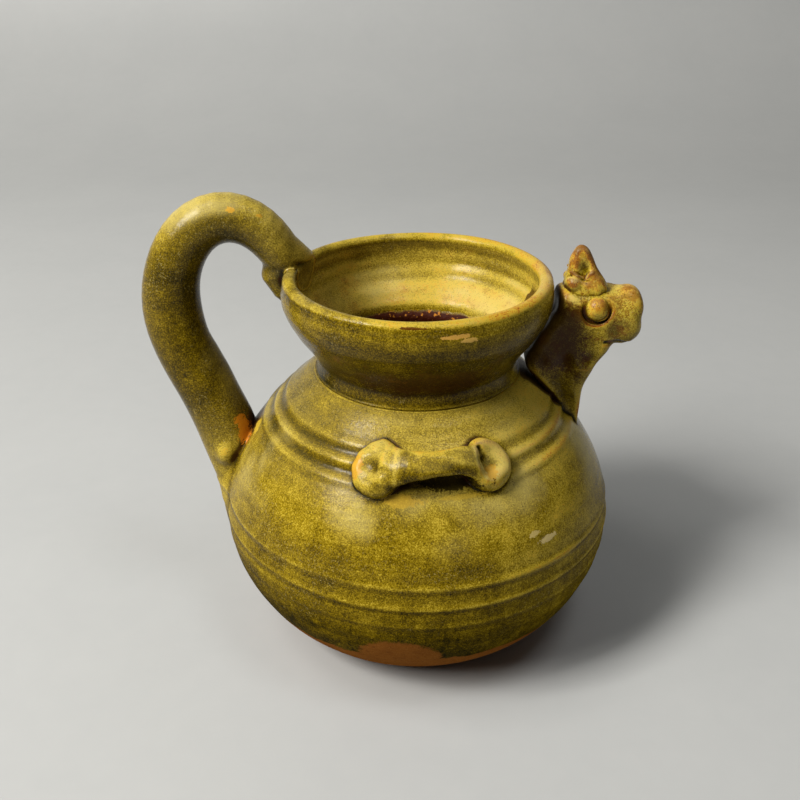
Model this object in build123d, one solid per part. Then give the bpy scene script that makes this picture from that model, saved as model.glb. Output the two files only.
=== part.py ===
from build123d import *
import os
from math import cos, degrees, radians, sin

# A small fired-clay ewer. It stands on Z = 0 with the centre of its base at the origin.
# The bird's head looks along +X, the handle is on the -X side and a cord lug sits at each side of Y.
# Every size is in millimetres and every angle in degrees.

# Belly, thrown on the wheel
BASE_RADIUS = 36.3
BASE_EDGE = 1.2
LOWER_RADIUS = 52.0
LOWER_HEIGHT = 13.5
BELLY_RADIUS = 62.0
BELLY_HEIGHT = 41.0
SHOULDER_RADIUS = 44.6
SHOULDER_HEIGHT = 75.8
SEAM_RADIUS = 31.6
SEAM_ABOVE_SHOULDER = 11.8
WALL = 5.0
FLOOR = 6.0

# Two grooves pressed round the shoulder, above and below its middle ridge
GROOVE_OFFSET = 2.0
GROOVE_TOOL = 1.6
GROOVE_DEPTH = 0.6

# Short neck and dish mouth, thrown as one ring. Its heights are measured from the seam on the belly.
NECK_RADIUS = 30.7
NECK_RISE = 2.4
DISH_UNDER_RADIUS = 35.2
DISH_UNDER_RISE = 11.8
DISH_RADIUS = 40.6
DISH_RISE = 23.9
LIP_RISE = 30.2
LIP_THICKNESS = 3.8
LIP_DRAW = 0.4
NECK_WALL = 5.2
THROAT_EDGE = 2.4
BOWL_DEPTH = 21.5
BOWL_CORNER_RISE = 3.0

# Handle, a rolled and tapered coil from the belly up and over the lip
HANDLE_FOOT_DIAMETER = 19.6
HANDLE_SIDE_DIAMETER = 17.8
HANDLE_CREST_DIAMETER = 15.2
HANDLE_END_DIAMETER = 12.0
HANDLE_SIDE_SHARE = 0.56
HANDLE_CREST_SHARE = 0.77
HANDLE_FOOT_DROP = 5.0
HANDLE_FOOT_DEPTH = 11.0
HANDLE_FOOT_SLOPE = 21.0
HANDLE_RISE_PAST_BELLY = 5.0
HANDLE_RISE_ABOVE_SHOULDER = 4.2
HANDLE_SIDE_PAST_BELLY = 13.2
HANDLE_SIDE_BELOW_LIP = 9.3
HANDLE_CREST_PAST_DISH = 18.8
HANDLE_CREST_ABOVE_LIP = 14.6
HANDLE_FALL_PAST_DISH = 2.2
HANDLE_FALL_ABOVE_LIP = 6.2
HANDLE_END_LAP = 7.0
HANDLE_END_SLOPE = 8.0
HANDLE_LEAN = 9.5
HANDLE_SECTIONS = 13

# Hollow neck of the bird, pinched to a wedge that stands on the shoulder
SPOUT_ROOT_DEPTH = 11.8
SPOUT_BEND_RISE = 1.2
SPOUT_JOINT_RISE = 1.4
SPOUT_ROOT_WIDTH = 8.0
SPOUT_BEND_WIDTH = 9.4
SPOUT_WIDTH = 13.4
SPOUT_PAST_SHOULDER = 6.4
SPOUT_FLARE = 3.0
SPOUT_CORNER = 0.38
NAPE_GAP = 1.4
NAPE_JOINT_GAP = 3.2
SPOUT_BORE = 3.6
SPOUT_WALL = 1.7

# Head of the bird with its round beak
BEAK_RISE = 15.6
BEAK_PAST_SPOUT = 16.4
BEAK_TALL = 17.8
BEAK_WIDTH = 15.4
BEAK_ROUNDING = 5.5
BEAK_BORE = 5.6
THROAT_PAST_SPOUT = 8.5

# Applied pellets and comb
EYE_DIAMETER = 7.4
EYE_PAST_SPOUT = 1.8
EYE_RISE = 4.0
EYE_STAND = 2.4
COMB_THICKNESS = 5.6
COMB_INSET = 1.0
COMB_LENGTH = 13.0
COMB_TIP_OFFSET = 6.0
COMB_TIP_RISE = 20.2
COMB_TIP_WIDTH = 4.4
COMB_TIP_ROUNDING = 1.9
COMB_EDGE = 1.0

# Cord lugs, each a strip of clay with its two ends pressed on to the shoulder
LUG_AZIMUTH = 84.0
LUG_SPREAD = 14.6
LUG_PAD_LENGTH = 13.6
LUG_PAD_WIDTH = 15.2
LUG_PAD_THICKNESS = 3.6
LUG_STRAP_WIDTH = 8.0
LUG_STRAP_THICKNESS = 4.8
LUG_CORD_GAP = 3.6

# How far a cutting tool runs past the clay that it cuts
CUT_MARGIN = 10.0

# Heights and reaches that follow from the sizes above
SEAM_HEIGHT = SHOULDER_HEIGHT + SEAM_ABOVE_SHOULDER
LIP_HEIGHT = SEAM_HEIGHT + LIP_RISE
THROAT_RADIUS = NECK_RADIUS - NECK_WALL
SPOUT_FRONT = SHOULDER_RADIUS + SPOUT_PAST_SHOULDER
SPOUT_ROOT_HEIGHT = SHOULDER_HEIGHT - SPOUT_ROOT_DEPTH
SPOUT_BEND_HEIGHT = SHOULDER_HEIGHT + SPOUT_BEND_RISE
SPOUT_JOINT_HEIGHT = SEAM_HEIGHT + SPOUT_JOINT_RISE
BEAK_HEIGHT = SPOUT_JOINT_HEIGHT + BEAK_RISE
BEAK_REACH = SPOUT_FRONT + BEAK_PAST_SPOUT
THROAT_FRONT = SPOUT_FRONT + THROAT_PAST_SPOUT


def at_height(curve, height):
    """Point on a rising outline at a height, found by halving."""
    low = 0.0
    high = 1.0
    for _ in range(40):
        middle = (low + high) / 2
        if (curve @ middle).Z < height:
            low = middle
        else:
            high = middle
    return curve @ low, curve % low


def outward(tangent):
    """Direction that points out of the clay, square to a rising outline in the XZ plane."""
    return Vector(tangent.Z, 0, -tangent.X).normalized()


def belly_outline():
    """Outer outline of the belly from the edge of its flat base up to the seam below the neck."""
    return Spline(
        (BASE_RADIUS, 0, 0),
        (LOWER_RADIUS, 0, LOWER_HEIGHT),
        (BELLY_RADIUS, 0, BELLY_HEIGHT),
        (SHOULDER_RADIUS, 0, SHOULDER_HEIGHT),
        (SEAM_RADIUS, 0, SEAM_HEIGHT),
    )


def mouth_outline():
    """Outer outline of the neck and dish from the seam up to the start of the rounded lip."""
    return Spline(
        (SEAM_RADIUS, 0, SEAM_HEIGHT),
        (NECK_RADIUS, 0, SEAM_HEIGHT + NECK_RISE),
        (DISH_UNDER_RADIUS, 0, SEAM_HEIGHT + DISH_UNDER_RISE),
        (DISH_RADIUS, 0, SEAM_HEIGHT + DISH_RISE),
        (DISH_RADIUS - LIP_DRAW, 0, LIP_HEIGHT - LIP_THICKNESS / 2),
    )


BELLY = belly_outline()
MOUTH = mouth_outline()


def turned(*edges):
    """Solid of revolution inside a closed outline drawn in the XZ plane."""
    return revolve(make_face(Wire(edges)), Axis.Z)


def belly_filled():
    """The belly as a solid lump, used to cut what is luted on to it."""
    bottom = Line((0, 0, 0), BELLY @ 0)
    top = Line(BELLY @ 1, (0, 0, SEAM_HEIGHT))
    axis = Line((0, 0, SEAM_HEIGHT), (0, 0, 0))
    return turned(bottom, BELLY, top, axis)


def belly_hollow():
    """Space inside the belly: the outline moved in by the wall, over a flat floor."""
    points = []
    for height in (LOWER_HEIGHT, BELLY_HEIGHT, SHOULDER_HEIGHT):
        place, tangent = at_height(BELLY, height)
        points.append(place - outward(tangent) * WALL)
    floor_corner = Vector(BASE_RADIUS - WALL, 0, FLOOR)
    throat = Vector(THROAT_RADIUS, 0, SEAM_HEIGHT)
    side = Spline(floor_corner, *points, throat)
    floor = Line((0, 0, FLOOR), floor_corner)
    top = Line(throat, (0, 0, SEAM_HEIGHT))
    axis = Line((0, 0, SEAM_HEIGHT), (0, 0, FLOOR))
    return turned(floor, side, top, axis)


def shoulder_grooves():
    """Rings that press the two grooves into the shoulder."""
    rings = []
    for side in (-1, 1):
        height = SHOULDER_HEIGHT + side * GROOVE_OFFSET
        place, tangent = at_height(BELLY, height)
        centre = place + outward(tangent) * (GROOVE_TOOL - GROOVE_DEPTH)
        rings.append(revolve(Plane(centre, z_dir=(0, -1, 0)) * Circle(GROOVE_TOOL), Axis.Z))
    return rings


def spout_axis():
    """Place of the upright bore that leads from the belly to the bird's head."""
    return SPOUT_FRONT - SPOUT_WALL - SPOUT_BORE / 2


def upright_bore():
    """Upright passage from inside the belly to the middle of the head."""
    bottom = SPOUT_ROOT_HEIGHT - CUT_MARGIN
    height = BEAK_HEIGHT - bottom
    return Pos(spout_axis(), 0, bottom + height / 2) * Cylinder(SPOUT_BORE / 2, height)


def beak_bore():
    """Level passage from the upright one out through the beak."""
    length = BEAK_REACH + CUT_MARGIN - spout_axis()
    middle = spout_axis() + length / 2
    return Pos(middle, 0, BEAK_HEIGHT) * Rot(0, 90, 0) * Cylinder(BEAK_BORE / 2, length)


def make_body():
    """Thrown belly with its flat base, shoulder grooves and the hole behind the spout."""
    body = belly_filled() - belly_hollow() - shoulder_grooves() - upright_bore()
    rim = body.edges().filter_by(GeomType.CIRCLE).sort_by(Axis.Z)[0]
    return chamfer(rim, BASE_EDGE)


def inside_dish(height):
    """Point inside the dish, a lip's thickness in from the outer outline at a height."""
    place, tangent = at_height(MOUTH, height)
    return place - outward(tangent) * LIP_THICKNESS


def make_dish_mouth():
    """Neck ring and dish with a rounded lip, a sloping bowl and an open throat."""
    lip_out = MOUTH @ 1
    lip_in = lip_out - Vector(LIP_THICKNESS, 0, 0)
    lip_top = Vector((lip_out.X + lip_in.X) / 2, 0, LIP_HEIGHT)
    lip = ThreePointArc(lip_out, lip_top, lip_in)
    throat_top = Vector(THROAT_RADIUS + THROAT_EDGE, 0, LIP_HEIGHT - BOWL_DEPTH)
    wall_in = inside_dish(SEAM_HEIGHT + DISH_RISE)
    bowl_corner = inside_dish(throat_top.Z + BOWL_CORNER_RISE)
    bowl = Spline(lip_in, wall_in, bowl_corner, throat_top)
    throat_edge = Vector(THROAT_RADIUS, 0, throat_top.Z - THROAT_EDGE)
    edge = Line(throat_top, throat_edge)
    throat_foot = Vector(THROAT_RADIUS, 0, SEAM_HEIGHT)
    throat = Line(throat_edge, throat_foot)
    seam = Line(throat_foot, MOUTH @ 0)
    return turned(MOUTH, lip, bowl, edge, throat, seam)


def handle_path():
    """Centre line of the handle from inside the belly wall to the lap over the lip."""
    foot, _ = at_height(BELLY, BELLY_HEIGHT - HANDLE_FOOT_DROP)
    lip_middle = (MOUTH @ 1).X - LIP_THICKNESS / 2
    stations = (
        (foot.X - HANDLE_FOOT_DEPTH, foot.Z),
        (BELLY_RADIUS + HANDLE_RISE_PAST_BELLY, SHOULDER_HEIGHT + HANDLE_RISE_ABOVE_SHOULDER),
        (BELLY_RADIUS + HANDLE_SIDE_PAST_BELLY, LIP_HEIGHT - HANDLE_SIDE_BELOW_LIP),
        (DISH_RADIUS + HANDLE_CREST_PAST_DISH, LIP_HEIGHT + HANDLE_CREST_ABOVE_LIP),
        (DISH_RADIUS + HANDLE_FALL_PAST_DISH, LIP_HEIGHT + HANDLE_FALL_ABOVE_LIP),
        (lip_middle, LIP_HEIGHT - HANDLE_END_LAP),
    )
    lean = HANDLE_LEAN / (len(stations) - 1)
    points = [Vector(-reach, lean * index, z) for index, (reach, z) in enumerate(stations)]
    foot_slope = radians(HANDLE_FOOT_SLOPE)
    end_slope = radians(HANDLE_END_SLOPE)
    start = (-sin(foot_slope), 0, cos(foot_slope))
    end = (sin(end_slope), 0, -cos(end_slope))
    return Spline(*points, tangents=[start, end])


def handle_diameter(share):
    """Diameter of the coil at a share of its length."""
    stations = (
        (0.0, HANDLE_FOOT_DIAMETER),
        (HANDLE_SIDE_SHARE, HANDLE_SIDE_DIAMETER),
        (HANDLE_CREST_SHARE, HANDLE_CREST_DIAMETER),
        (1.0, HANDLE_END_DIAMETER),
    )
    for (start, first), (end, last) in zip(stations, stations[1:]):
        if share <= end:
            break
    return first + (last - first) * (share - start) / (end - start)


def make_handle(belly, dish_mouth):
    """Tapered coil, pressed against the belly at its foot and slotted over the lip at its end."""
    path = handle_path()
    sections = []
    for index in range(HANDLE_SECTIONS):
        share = index / (HANDLE_SECTIONS - 1)
        plane = Plane(path @ share, x_dir=(0, 1, 0), z_dir=path % share)
        sections.append(plane * Circle(handle_diameter(share) / 2))
    coil = loft(sections)
    return largest(coil - belly - dish_mouth)


def largest(shape):
    """The biggest solid of a shape."""
    return shape.solids().sort_by(SortBy.VOLUME)[-1]


def spout_section(height, back, front, width):
    """Level section of the bird's neck between its nape and its front, flat at the sides."""
    middle = (back + front) / 2
    corner = min(front - back, width) * SPOUT_CORNER
    return Pos(middle, 0, height) * RectangleRounded(front - back, width, corner)


def nape(height):
    """Back of the bird's neck, a small gap off the shoulder, the vessel's neck and the dish."""
    if height < SEAM_HEIGHT:
        place, _ = at_height(BELLY, height)
        return place.X
    place, _ = at_height(MOUTH, height)
    return place.X + NAPE_GAP


def joint_section():
    """Level section where the head is luted on to the bird's neck."""
    back = nape(SPOUT_JOINT_HEIGHT) + NAPE_JOINT_GAP - NAPE_GAP
    return spout_section(SPOUT_JOINT_HEIGHT, back, SPOUT_FRONT + SPOUT_FLARE, SPOUT_WIDTH)


def make_spout_neck(belly):
    """Hollow wedge of clay that stands on the shoulder and widens up to the head."""
    back = SPOUT_FRONT - SPOUT_BORE - 2 * SPOUT_WALL
    root = spout_section(SPOUT_ROOT_HEIGHT, back, SPOUT_FRONT, SPOUT_ROOT_WIDTH)
    back = nape(SPOUT_BEND_HEIGHT)
    bend = spout_section(SPOUT_BEND_HEIGHT, back, SPOUT_FRONT, SPOUT_BEND_WIDTH)
    wedge = loft([root, bend, joint_section()])
    return largest(wedge - belly - upright_bore())


def head_back():
    """Reach of the back of the head, which clears the dish halfway up its upper half."""
    return nape(BEAK_HEIGHT + BEAK_TALL / 4)


def head_lump():
    """Head of the bird: the top of the neck running into a blunt round beak."""
    middle_height = (SPOUT_JOINT_HEIGHT + BEAK_HEIGHT) / 2
    middle_front = (SPOUT_FRONT + SPOUT_FLARE + THROAT_FRONT) / 2
    throat = spout_section(middle_height, nape(middle_height), middle_front, BEAK_WIDTH)
    crown = spout_section(BEAK_HEIGHT, nape(BEAK_HEIGHT), THROAT_FRONT, BEAK_WIDTH)
    stem = loft([joint_section(), throat, crown])
    back = head_back()
    outline = Plane((back, 0, BEAK_HEIGHT), z_dir=(1, 0, 0)) * Ellipse(BEAK_TALL / 2, BEAK_WIDTH / 2)
    snout = extrude(outline, BEAK_REACH - back)
    snout = fillet(snout.edges(), BEAK_ROUNDING)
    return stem + snout


def make_chicken_head(head):
    """Hollow head, open through the neck below and through the end of the beak."""
    return largest(head - upright_bore() - beak_bore())


def make_eye(head, side):
    """Round pellet pressed on to one side of the head."""
    seat = side * (BEAK_WIDTH / 2 + EYE_STAND - EYE_DIAMETER / 2)
    place = Pos(SPOUT_FRONT + EYE_PAST_SPOUT, seat, BEAK_HEIGHT + EYE_RISE)
    return largest(place * Sphere(EYE_DIAMETER / 2) - head)


def make_comb(head):
    """Upright comb, a flattened lump of clay with a rounded tip."""
    back = head_back() + COMB_INSET
    tip = back + COMB_TIP_OFFSET
    top = BEAK_HEIGHT + COMB_TIP_RISE
    corners = (
        (back, BEAK_HEIGHT),
        (tip - COMB_TIP_WIDTH / 2, top),
        (tip + COMB_TIP_WIDTH / 2, top),
        (back + COMB_LENGTH, BEAK_HEIGHT),
    )
    outline = make_face(Polyline(*corners, close=True))
    outline = fillet(outline.vertices().sort_by(Axis.Y)[-2:], COMB_TIP_ROUNDING)
    blade = extrude(Plane.XZ * outline, COMB_THICKNESS / 2, both=True)
    sides = blade.faces().sort_by(Axis.Y)
    blade = chamfer(sides[0].edges() + sides[-1].edges(), COMB_EDGE)
    return largest(blade - head)


def lug_plane(azimuth):
    """Plane on the shoulder with X along the strap, Y up the slope and Z out of the clay."""
    place, tangent = at_height(BELLY, SHOULDER_HEIGHT)
    turn = Rot(0, 0, azimuth)
    origin = turn * Pos(place.X, place.Y, place.Z)
    normal = outward(tangent)
    out = Vector(normal.X * cos(radians(azimuth)), normal.X * sin(radians(azimuth)), normal.Z)
    along = Vector(-sin(radians(azimuth)), cos(radians(azimuth)), 0)
    return Plane(origin.position, x_dir=along, z_dir=out)


def make_lug(belly, azimuth):
    """Cord lug: two pressed pads joined by a strap that arches clear of the shoulder."""
    lug = Part()
    turn = degrees(LUG_SPREAD / SHOULDER_RADIUS)
    for side in (-1, 1):
        pad_plane = lug_plane(azimuth + side * turn)
        pad = pad_plane * extrude(
            Ellipse(LUG_PAD_LENGTH / 2, LUG_PAD_WIDTH / 2), LUG_PAD_THICKNESS / 2, both=True
        )
        lug += pad
    plane = lug_plane(azimuth)
    rise = LUG_CORD_GAP + LUG_STRAP_THICKNESS / 2
    drop = -LUG_PAD_THICKNESS / 2
    arch = plane * ThreePointArc((-LUG_SPREAD, 0, drop), (0, 0, rise), (LUG_SPREAD, 0, drop))
    start = Plane(arch @ 0, x_dir=plane.y_dir, z_dir=arch % 0)
    lug += sweep(start * Ellipse(LUG_STRAP_WIDTH / 2, LUG_STRAP_THICKNESS / 2), arch)
    return largest(lug - belly)


def make_parts():
    """Every piece by its node name."""
    belly = belly_filled()
    head = head_lump()
    dish_mouth = make_dish_mouth()
    return {
        "body": make_body(),
        "dish_mouth": dish_mouth,
        "handle": make_handle(belly, dish_mouth),
        "spout_neck": make_spout_neck(belly),
        "chicken_head": make_chicken_head(head),
        "comb": make_comb(head),
        "eye_left": make_eye(head, 1),
        "eye_right": make_eye(head, -1),
        "lug_front": make_lug(belly, -LUG_AZIMUTH),
        "lug_back": make_lug(belly, LUG_AZIMUTH),
    }


os.makedirs("parts", exist_ok=True)
for name, piece in make_parts().items():
    export_step(piece, f"parts/{name}.step")
    print(name, round(piece.volume), "mm3")
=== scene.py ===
# %% [markdown]
# # A small green-glazed ewer with a bird's head
# The ewer was thrown on a wheel, and a handle, a bird's neck and head, two eyes, a comb and two cord
# lugs were pressed on to it by hand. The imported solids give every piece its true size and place.
# Here each one gets the softer, less even surface of real clay under a thick running glaze.

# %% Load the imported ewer
import math
import bpy
import numpy as np
from mathutils import Matrix, Vector
from mathutils.bvhtree import BVHTree


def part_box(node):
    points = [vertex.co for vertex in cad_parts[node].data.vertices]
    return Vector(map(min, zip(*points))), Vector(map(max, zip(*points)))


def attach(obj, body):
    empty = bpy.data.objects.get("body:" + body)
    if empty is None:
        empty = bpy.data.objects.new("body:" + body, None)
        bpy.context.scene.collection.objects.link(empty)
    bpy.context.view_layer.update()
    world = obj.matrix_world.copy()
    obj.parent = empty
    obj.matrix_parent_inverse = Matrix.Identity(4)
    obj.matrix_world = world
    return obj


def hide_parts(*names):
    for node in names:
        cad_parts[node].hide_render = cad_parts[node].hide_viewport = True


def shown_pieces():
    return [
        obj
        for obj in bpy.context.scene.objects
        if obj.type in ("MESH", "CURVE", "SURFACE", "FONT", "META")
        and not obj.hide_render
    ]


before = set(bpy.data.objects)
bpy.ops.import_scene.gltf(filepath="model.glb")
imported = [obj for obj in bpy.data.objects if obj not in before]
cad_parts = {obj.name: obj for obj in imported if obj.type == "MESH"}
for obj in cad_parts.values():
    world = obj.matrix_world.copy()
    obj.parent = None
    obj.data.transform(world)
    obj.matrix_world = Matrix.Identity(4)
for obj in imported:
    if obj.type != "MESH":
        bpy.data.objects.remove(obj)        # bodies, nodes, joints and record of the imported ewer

MM = 0.001
for leftover in ("Cube", "Light", "Camera"):        # what a new Blender file starts with
    if leftover in bpy.data.objects:
        bpy.data.objects.remove(bpy.data.objects[leftover])
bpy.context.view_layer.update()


# %% [markdown]
# ## Reading the thrown outline off the solids
# A thrown pot is a solid of revolution, so all its shape is in one outline: radius against height.
# Ray casts or a copied table of sizes would both do. Here the corners of the solid's own outer or
# inner faces give heights and radii, and a smooth polynomial through them gives an outline without
# the solid's small facets, which would show in a glossy glaze.

# %% Read an outline
def turned_outline(node, side, low, high, skip=(0, 0), degree=13):
    """Radius against height on the outer (side 1) or inner (side -1) skin of a turned solid."""
    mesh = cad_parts[node].data
    corners = np.array([v.co for v in mesh.vertices]) / MM
    rows = []
    for face in mesh.polygons:
        outward = Vector((face.center.x, face.center.y, 0)).normalized()
        if face.center.x < 0 and face.normal.dot(outward) * side > 0.05:
            rows.extend(face.vertices)
    points = corners[sorted(set(rows))]
    height = points[:, 2]
    keep = (height > low) & (height < high) & ((height < skip[0]) | (height > skip[1]))
    radius = np.hypot(points[keep, 0], points[keep, 1])
    outline = np.polynomial.Chebyshev.fit(height[keep], radius, degree)
    print(node, "outline side", side, "rests on", keep.sum(), "corners, misses by at most",
          round(float(np.abs(outline(height[keep]) - radius).max()), 3), "mm")
    return outline


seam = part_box("body")[1].z / MM
lip_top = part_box("dish_mouth")[1].z / MM
belly_out = turned_outline("body", 1, 1.4, seam - 0.01, skip=(70.8, 80.8))
belly_in = turned_outline("body", -1, 6.2, seam - 0.01, skip=(70.8, 80.8))
mouth_out = turned_outline("dish_mouth", 1, seam + 0.01, lip_top - 1.95)
mouth_in = turned_outline("dish_mouth", -1, seam + 6.5, lip_top - 1.95, degree=9)
throat_radius = float(belly_in(seam))


# %% [markdown]
# ## The marks of the maker's hands
# No thrown wall is exact. Fingers leave low rings that climb in a spiral, the wall wanders by a few
# tenths of a millimetre, and a tool leaves sharper ridges. A noise texture could displace the mesh,
# but sums of sine waves in the angle close up round the pot and repeat exactly at each run.

# %% Waves and ridges
def waves(angle, height, seed, count, turns, lengths, size):
    """Unevenness of a thrown wall: a few seeded sine waves that run round it and climb."""
    dice = np.random.default_rng(seed)
    total = 0.0
    for _ in range(count):
        round_it = dice.integers(turns[0], turns[1] + 1)
        climb = 2 * math.pi / dice.uniform(*lengths) * dice.choice((-1, 1))
        total = total + np.sin(round_it * angle + climb * height + dice.uniform(0, 2 * math.pi))
    return total * size / math.sqrt(count)


def ridge(height, centre, width):
    """A low rounded ridge of height 1 round the pot."""
    return np.exp(-(((height - centre) / width) ** 2))


# Middle height, width and size of each ridge in millimetres. A size below 0 is a groove.
BELLY_RIDGES = (
    (47.6, 1.0, 0.28), (45.6, 1.2, -0.20), (43.6, 1.6, -0.10), (41.2, 0.9, 0.26), (39.3, 1.2, -0.18),
    (34.6, 1.0, 0.17), (33.0, 1.1, -0.08), (28.6, 1.2, 0.10))
SHOULDER_RIDGES = (
    (71.7, 0.9, 0.26), (73.8, 1.2, -0.54), (75.8, 0.8, 0.26), (77.8, 1.1, -0.46),
    (79.7, 0.9, 0.24), (87.5, 1.0, -0.22), (84.6, 1.0, 0.10))
DISH_RIDGES = ((92.2, 1.0, -0.16), (103.6, 1.1, -0.10), (109.6, 1.0, 0.08), (113.9, 0.9, -0.16))


def outer_marks(angle, height):
    """How far the outer skin stands off the exact outline, in millimetres."""
    sway = 0.55 * np.sin(angle + 1.1) + 0.25 * np.sin(3 * angle)
    marks = -0.52 * ridge(height, 43.5, 13.0)
    for centre, width, size in BELLY_RIDGES:
        fade = 1 + 0.45 * np.sin(2 * angle + centre)
        marks = marks + size * fade * ridge(height + sway, centre, width)
    for centre, width, size in SHOULDER_RIDGES + DISH_RIDGES:
        marks = marks + size * ridge(height + 0.35 * sway, centre, width)
    marks = marks + waves(angle, height, 3, 7, (1, 4), (45, 110), 0.10)
    marks = marks + waves(angle, height, 5, 5, (1, 2), (5, 12), 0.035)
    return marks + waves(angle, height, 8, 6, (1, 3), (1.6, 3.2), 0.012)


def inner_marks(angle, height):
    """The same for the inner skin, where the fingers pulled harder."""
    marks = waves(angle, height, 11, 5, (1, 2), (3.4, 6.5), 0.10)
    return marks + waves(angle, height, 13, 5, (1, 4), (20, 60), 0.12)


# %% [markdown]
# ## Spinning an outline into clay
# The Screw modifier would spin an outline, but it knows nothing of the marks above. Writing the
# rings of points directly lets each point move along the outline's own normal by its mark, and keeps
# the face flow even, so that highlights run smoothly round the pot.

# %% Lathe helpers
def spaced(outline, gap):
    """The same outline with its points a steady gap apart."""
    outline = np.asarray(outline, float)
    walked = np.r_[0, np.cumsum(np.hypot(*np.diff(outline, axis=0).T))]
    stops = np.linspace(0, walked[-1], max(2, round(walked[-1] / gap)) + 1)
    return np.stack([np.interp(stops, walked, outline[:, i]) for i in (0, 1)], 1)


def rising(curve, low, high):
    """Fine points (radius, height) of an outline between two heights."""
    height = np.linspace(low, high, 900)
    return np.stack([curve(height), height], 1)


def arc(centre, radius, start, end):
    """Points on an arc in the outline's plane, by angles in degrees from the outward direction."""
    turn = np.radians(np.linspace(start, end, 24))
    return np.stack([centre[0] + radius * np.cos(turn), centre[1] + radius * np.sin(turn)], 1)


def outer_rows(parts, count):
    """Which points of an outline lie in its first few parts, the ones outside, as a column."""
    return np.concatenate([np.full(len(part), i < count) for i, part in enumerate(parts)])[:, None]


def add_mesh(name, points, faces):
    """A smooth-shaded object from points in millimetres."""
    mesh = bpy.data.meshes.new(name)
    mesh.from_pydata((np.asarray(points) * MM).tolist(), [], faces)
    mesh.polygons.foreach_set("use_smooth", [True] * len(mesh.polygons))
    mesh.update()
    piece = bpy.data.objects.new(name, mesh)
    bpy.context.scene.collection.objects.link(piece)
    print(name, len(mesh.vertices), "points", len(mesh.polygons), "faces")
    return piece


def lathe(name, outline, marks, segments, closed):
    """Spins an outline of (radius, height) points, each moved along its normal by its mark."""
    count = len(outline)
    if closed:
        ahead, behind = np.roll(outline, -1, 0), np.roll(outline, 1, 0)
    else:
        ahead, behind = np.r_[outline[1:], outline[-1:]], np.r_[outline[:1], outline[:-1]]
    along = ahead - behind
    normal = np.stack([along[:, 1], -along[:, 0]], 1)
    normal /= np.linalg.norm(normal, axis=1)[:, None] + 1e-9
    angle = np.linspace(0, 2 * math.pi, segments, endpoint=False)[None, :]
    shift = marks(angle, outline[:, 1:])
    radius = outline[:, :1] + normal[:, :1] * shift
    height = outline[:, 1:] + normal[:, 1:] * shift
    points = np.stack([radius * np.cos(angle), radius * np.sin(angle), height + 0 * angle], 2)
    row = np.arange(count if closed else count - 1)[:, None]
    column = np.arange(segments)[None, :]
    next_row, next_column = (row + 1) % count, (column + 1) % segments
    corners = [row * segments + column, row * segments + next_column,
               next_row * segments + next_column, next_row * segments + column]
    faces = np.stack([np.broadcast_to(c, (len(row), segments)) for c in corners], 2)
    return add_mesh(name, points.reshape(-1, 3), faces.reshape(-1, 4).tolist())


# %% [markdown]
# ## Belly
# The belly is one thrown wall: flat unglazed base, round belly, shoulder with two pressed grooves,
# and a hollow inside that can be seen through the throat. The outline therefore starts at the middle
# of the base, goes up the outside, crosses the seam under the neck and comes back down the inside.

# %% Spin the belly
def belly_marks(angle, height):
    """Outer marks on the outer rows, inner marks on the rows of the hollow, none on the base."""
    outside = outer_marks(angle, height) * np.clip((height - 0.5) / 2, 0, 1)
    inside = inner_marks(angle, height) * np.clip((seam - height) / 4, 0, 1)
    return np.where(belly_rows, outside, inside)


foot = float(belly_out(1.8))
foot_round = 1.9
flat = foot - foot_round
outer_line = np.r_[arc((flat, foot_round), foot_round, -90, -20), rising(belly_out, 2.2, seam)]
base_line = np.array([(0.01, 0.25), (20, 0.2), (foot - 7, 0.05), (foot - 5, 0.0), (flat, 0.0)])
inner_line = rising(belly_in, 6.2, seam)[::-1]
floor_height = 6
floor_line = np.array([inner_line[-1], (15, floor_height), (0.01, floor_height)])
parts = [spaced(base_line, 2.0), spaced(outer_line, 0.56)[1:],
         spaced(inner_line, 1.5), spaced(floor_line, 3.0)[1:]]
belly_rows = outer_rows(parts, 2)
thrown_belly = lathe("thrown_belly", np.concatenate(parts), belly_marks, 360, closed=False)
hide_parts("body")


# %% [markdown]
# ## Dish mouth
# The neck and the dish are one thrown ring that was set on the belly. Its outline is a closed loop:
# up the outside, over the rounded lip, down the bowl to the throat and back under to the seam.

# %% Spin the dish mouth
def mouth_marks(angle, height):
    """Outer marks outside, finger rings in the bowl, and a lip that is not quite level."""
    lip = 0.22 * np.sin(2 * angle + 0.6) + 0.10 * np.sin(5 * angle + 2.0) - 0.25
    level = np.clip((height - lip_top + 5) / 4, 0, 1)
    body = np.where(mouth_rows, outer_marks(angle, height), inner_marks(angle, height) * 1.3)
    return body * (1 - 0.75 * level) + lip * level * 0.6


lip_round = 1.9
wall_top = lip_top - lip_round
lip_half = 2.2
lip_middle = float(mouth_out(wall_top - 0.1)) - lip_half
lip_line = arc((0, wall_top), lip_round, 4, 176) * (lip_half / lip_round, 1) + (lip_middle, 0)
dish_line = rising(mouth_out, seam, wall_top)
bowl_line = rising(mouth_in, seam + 8.4, wall_top)[::-1]
thicker = bowl_line[0, 0] - (lip_middle - lip_half)
for size, middle, width in ((thicker, wall_top, 4.0), (1.6, seam + 11.0, 3.4), (-0.12, seam + 16.5, 1.5)):
    bowl_line[:, 0] -= size * ridge(bowl_line[:, 1], middle, width)
throat_line = np.array([bowl_line[-1], (throat_radius + 0.6, seam + 7.2), (throat_radius, seam + 6.0),
                        (throat_radius, seam)])
seam_face = [(throat_radius, seam), (float(mouth_out(seam)), seam)]
parts = [spaced(dish_line, 0.6), spaced(lip_line, 0.42)[1:-1], spaced(bowl_line, 0.75),
         spaced(throat_line, 0.8)[1:], spaced(seam_face, 2.0)[1:-1]]
mouth_rows = outer_rows(parts, 1)
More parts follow.
